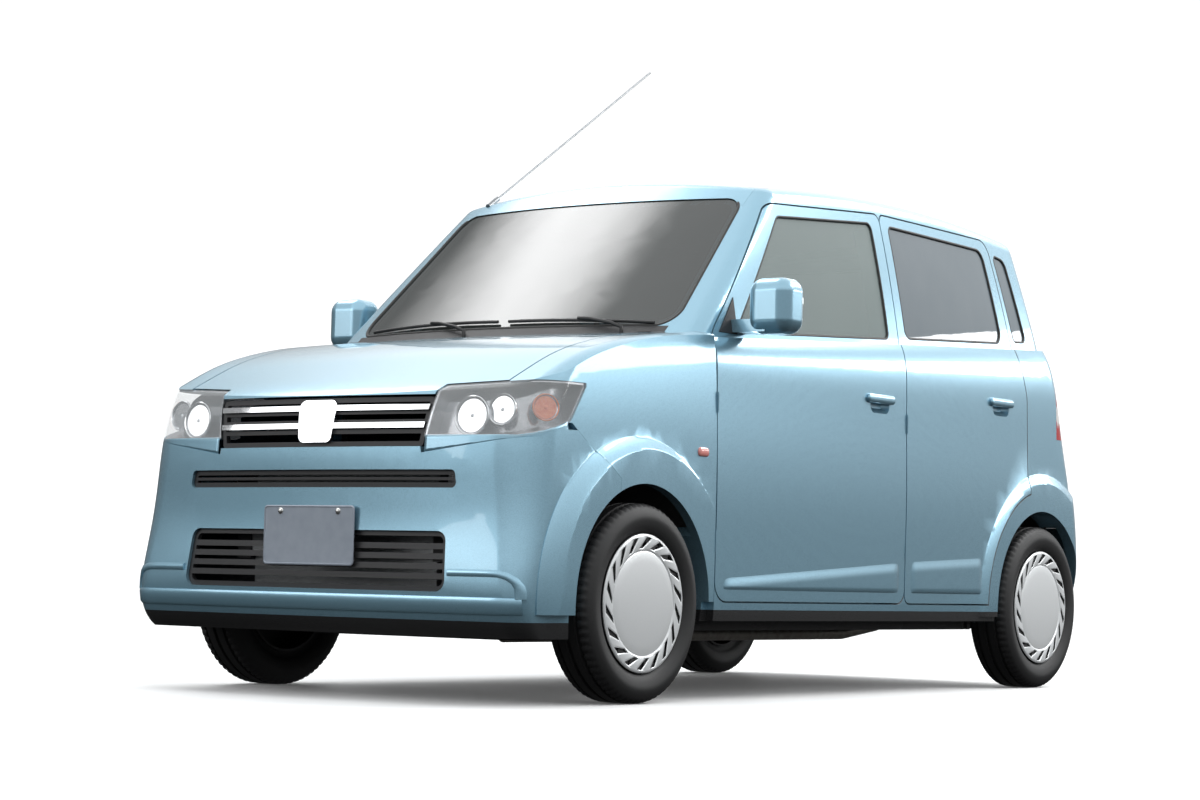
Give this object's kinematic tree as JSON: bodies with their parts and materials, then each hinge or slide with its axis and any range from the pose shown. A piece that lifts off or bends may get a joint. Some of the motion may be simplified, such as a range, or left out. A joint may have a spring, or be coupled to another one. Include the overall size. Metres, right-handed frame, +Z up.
{
  "type": "kei car",
  "caption": "Tall five-door kei car with opening doors, bonnet and tailgate, steered front wheels and a hollow cabin with seats and dashboard.",
  "frame": {"origin": "on the ground below the middle of the car", "axes": "+X forward, +Y to the left of the car, +Z up"},
  "size_m": [3.3965, 1.764, 2.1415],
  "materials": {
    "paint": "pale ice-blue metallic",
    "black_plastic": "grained black",
    "chrome": "bright plated",
    "lamp_bowl": "vacuum-plated reflector",
    "lamp_clear": "clear lens",
    "lamp_red": "red lens",
    "glass_clear": "green-tinted clear glass",
    "glass_tinted": "dark privacy glass",
    "tyre": "black rubber",
    "wheel_silver": "silver-painted wheel cover on a steel rim",
    "underbody": "black chassis paint",
    "cast_metal": "bare casting",
    "engine_alloy": "cast alloy",
    "exhaust_steel": "steel pipe",
    "seat_cloth": "woven grey cloth",
    "dash_plastic": "grained grey plastic"
  },
  "bodies": {
    "body": {"floor_pan": "underbody", "body_side_left": "paint", "body_side_right": "paint", "roof_panel": "paint", "front_fenders": "paint", "front_bumper": "paint", "grilles": "black_plastic", "grille_bars": "chrome", "headlamps": "lamp_bowl", "headlamp_lenses": "lamp_clear", "fixed_glass": "glass_clear", "cowl_panel": "black_plastic", "rear_bumper": "paint", "tail_lamps": "lamp_red", "seats": "seat_cloth", "dashboard": "dash_plastic", "antenna": "black_plastic", "engine": "engine_alloy", "radiator": "engine_alloy", "front_subframe": "underbody", "front_struts": "underbody", "rear_axle": "underbody", "exhaust": "exhaust_steel"},
    "bonnet": {"bonnet": "paint"},
    "tailgate": {"tailgate": "paint", "tailgate_glass": "glass_tinted"},
    "steering_wheel": {"steering_wheel": "dash_plastic"},
    "door_front_left": {"door_front_left": "paint", "door_glass_front_left": "glass_clear", "mirror_left": "paint"},
    "door_rear_left": {"door_rear_left": "paint", "door_glass_rear_left": "glass_tinted"},
    "door_front_right": {"door_front_right": "paint", "door_glass_front_right": "glass_clear", "mirror_right": "paint"},
    "door_rear_right": {"door_rear_right": "paint", "door_glass_rear_right": "glass_tinted"},
    "knuckle_left": {"knuckle_left": "cast_metal"},
    "knuckle_right": {"knuckle_right": "cast_metal"},
    "wheel_front_left": {"tyre_front_left": "tyre", "wheel_front_left": "wheel_silver"},
    "wheel_front_right": {"tyre_front_right": "tyre", "wheel_front_right": "wheel_silver"},
    "wheel_rear_left": {"tyre_rear_left": "tyre", "wheel_rear_left": "wheel_silver"},
    "wheel_rear_right": {"tyre_rear_right": "tyre", "wheel_rear_right": "wheel_silver"}
  },
  "joints": [
    {"name": "bonnet_lift", "type": "hinge", "parent": "body", "child": "bonnet", "pos_m": [0.88, 0, 1.059], "axis": [0, -1, 0], "range_deg": [0, 55]},
    {"name": "tailgate_lift", "type": "hinge", "parent": "body", "child": "tailgate", "pos_m": [-1.31, 0, 1.59882], "axis": [0, 1, 0], "range_deg": [0, 78]},
    {"name": "door_front_left_swing", "type": "hinge", "parent": "body", "child": "door_front_left", "pos_m": [0.747, 0.72138, 0.645], "axis": [0, 0, -1], "range_deg": [0, 65]},
    {"name": "door_rear_left_swing", "type": "hinge", "parent": "body", "child": "door_rear_left", "pos_m": [-0.353, 0.72604, 0.645], "axis": [0, 0, -1], "range_deg": [0, 65]},
    {"name": "door_front_right_swing", "type": "hinge", "parent": "body", "child": "door_front_right", "pos_m": [0.747, -0.72138, 0.645], "axis": [0, 0, 1], "range_deg": [0, 65]},
    {"name": "door_rear_right_swing", "type": "hinge", "parent": "body", "child": "door_rear_right", "pos_m": [-0.353, -0.72604, 0.645], "axis": [0, 0, 1], "range_deg": [0, 65]},
    {"name": "steering", "type": "hinge", "parent": "body", "child": "steering_wheel", "pos_m": [0.415, -0.33, 0.93], "axis": [-0.8988, 0, 0.4384], "range_deg": [-540, 540]},
    {"name": "steer_left", "type": "hinge", "parent": "body", "child": "knuckle_left", "pos_m": [1.1075, 0.59, 0.19], "axis": [0, -0.1674, 0.9859], "range_deg": [-34, 34]},
    {"name": "steer_right", "type": "hinge", "parent": "body", "child": "knuckle_right", "pos_m": [1.1075, -0.59, 0.19], "axis": [0, 0.1674, 0.9859], "range_deg": [-34, 34]},
    {"name": "wheel_front_left_spin", "type": "hinge", "parent": "knuckle_left", "child": "wheel_front_left", "pos_m": [1.1075, 0.655, 0.2785], "axis": [0, 1, 0], "continuous": true},
    {"name": "wheel_front_right_spin", "type": "hinge", "parent": "knuckle_right", "child": "wheel_front_right", "pos_m": [1.1075, -0.655, 0.2785], "axis": [0, 1, 0], "continuous": true},
    {"name": "wheel_rear_left_spin", "type": "hinge", "parent": "body", "child": "wheel_rear_left", "pos_m": [-1.3125, 0.655, 0.2785], "axis": [0, 1, 0], "continuous": true},
    {"name": "wheel_rear_right_spin", "type": "hinge", "parent": "body", "child": "wheel_rear_right", "pos_m": [-1.3125, -0.655, 0.2785], "axis": [0, 1, 0], "continuous": true}
  ],
  "couplings": [
    {"joint": "steer_left", "follows": "steering", "ratio": 0.062963},
    {"joint": "steer_right", "follows": "steering", "ratio": 0.062963}
  ]
}
